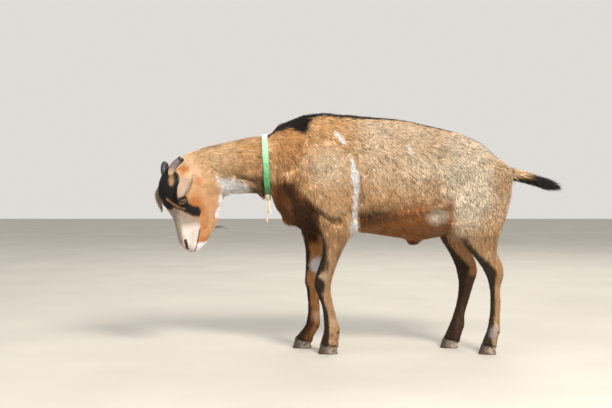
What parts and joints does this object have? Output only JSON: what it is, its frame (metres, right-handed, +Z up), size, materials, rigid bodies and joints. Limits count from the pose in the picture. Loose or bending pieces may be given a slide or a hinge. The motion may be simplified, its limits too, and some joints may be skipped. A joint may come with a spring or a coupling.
{
  "type": "goat",
  "caption": "Life-size standing goat model with its head hung low, short horns, drooping ears, a coarse tan and black coat and a tied strap collar.",
  "frame": {"origin": "bottom centre of the bounding box, on the floor that the hooves stand on", "axes": "+X towards the tail, so the goat faces -X; its left side is on -Y; +Z up"},
  "size_m": [0.9794, 0.2518, 0.5812],
  "materials": {
    "coat_tan": "coarse matt hair, tan with black and cream markings",
    "coat_black": "coarse matt hair, black with a tan root",
    "ear_skin": "short-haired skin, pinkish grey inside",
    "eye_amber": "wet gloss, amber with a dark level slit",
    "horn_grey": "satin ringed horn, grey-black with tan patches",
    "hoof_black": "matt dusty horn",
    "strap_green": "flat woven strap, sun-faded along its top",
    "twine_cream": "twisted natural twine, frayed at its cut ends"
  },
  "bodies": {
    "root": {"trunk": "coat_tan", "neck": "coat_tan", "head": "coat_tan", "leg_front_left_upper": "coat_tan", "leg_front_left_lower": "coat_tan", "leg_front_right_upper": "coat_tan", "leg_front_right_lower": "coat_tan", "leg_hind_left_upper": "coat_tan", "leg_hind_left_lower": "coat_tan", "leg_hind_right_upper": "coat_tan", "leg_hind_right_lower": "coat_tan", "tail": "coat_black", "ear_left": "ear_skin", "ear_right": "ear_skin", "eye_left": "eye_amber", "eye_right": "eye_amber", "horn_left": "horn_grey", "horn_right": "horn_grey", "claw_front_left_inner": "hoof_black", "claw_front_left_outer": "hoof_black", "claw_front_right_inner": "hoof_black", "claw_front_right_outer": "hoof_black", "claw_hind_left_inner": "hoof_black", "claw_hind_left_outer": "hoof_black", "claw_hind_right_inner": "hoof_black", "claw_hind_right_outer": "hoof_black", "collar": "strap_green", "twine_knot": "twine_cream", "twine_end_long": "twine_cream", "twine_end_short": "twine_cream"}
  },
  "joints": []
}
